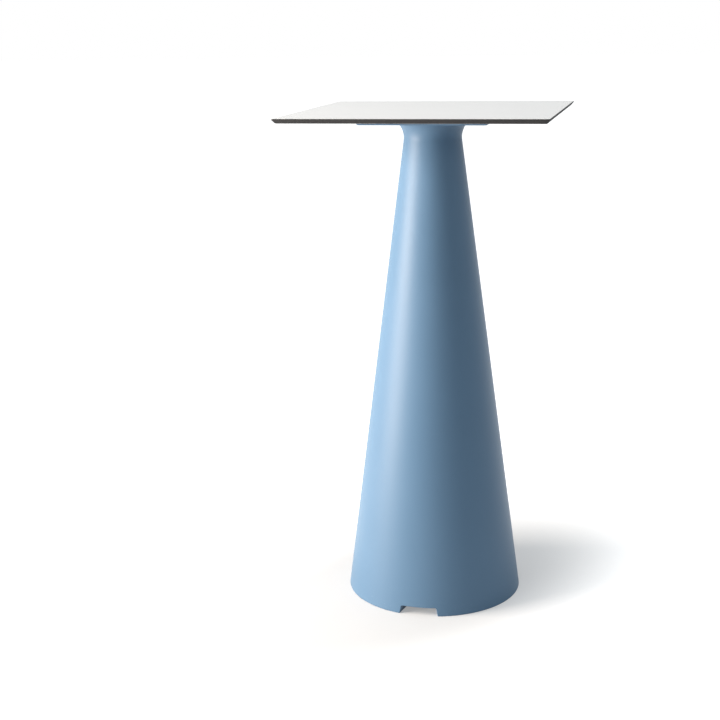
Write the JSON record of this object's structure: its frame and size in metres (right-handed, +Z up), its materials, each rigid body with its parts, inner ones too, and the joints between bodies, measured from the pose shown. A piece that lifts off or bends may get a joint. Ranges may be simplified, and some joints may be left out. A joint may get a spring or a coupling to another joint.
{
  "type": "bar table",
  "caption": "Tall bar table: a thin square laminate top with undercut edges on a hollow tapering plastic cone, weighted in the foot.",
  "frame": {"origin": "on the floor, on the axis of the cone, under the middle of the tabletop", "axes": "+Z up along the cone axis, -Y towards the front side of the tabletop, where one notch of the foot is, +X to the right seen from the front"},
  "size_m": [0.56, 0.56, 1.1],
  "materials": {
    "white_laminate": "satin",
    "blue_paint": "satin",
    "blue_polyethylene": "satin",
    "grey_iron": "matte",
    "zinc_steel": "satin",
    "yellow_brass": "satin"
  },
  "bodies": {
    "root": {"tabletop": "white_laminate", "top_plate": "blue_paint", "base_shell": "blue_polyethylene", "ballast_disc": "grey_iron", "tabletop_screw_1": "zinc_steel", "tabletop_screw_2": "zinc_steel", "tabletop_screw_3": "zinc_steel", "tabletop_screw_4": "zinc_steel", "plate_bolt_1": "zinc_steel", "plate_bolt_2": "zinc_steel", "plate_bolt_3": "zinc_steel", "plate_bolt_4": "zinc_steel", "plate_washer_1": "zinc_steel", "plate_washer_2": "zinc_steel", "plate_washer_3": "zinc_steel", "plate_washer_4": "zinc_steel", "ballast_bolt_1": "zinc_steel", "ballast_bolt_2": "zinc_steel", "ballast_bolt_3": "zinc_steel", "ballast_bolt_4": "zinc_steel", "ballast_washer_1": "zinc_steel", "ballast_washer_2": "zinc_steel", "ballast_washer_3": "zinc_steel", "ballast_washer_4": "zinc_steel", "tabletop_bush_1": "yellow_brass", "tabletop_bush_2": "yellow_brass", "tabletop_bush_3": "yellow_brass", "tabletop_bush_4": "yellow_brass", "deck_insert_1": "yellow_brass", "deck_insert_2": "yellow_brass", "deck_insert_3": "yellow_brass", "deck_insert_4": "yellow_brass", "foot_insert_1": "yellow_brass", "foot_insert_2": "yellow_brass", "foot_insert_3": "yellow_brass", "foot_insert_4": "yellow_brass"}
  },
  "joints": []
}
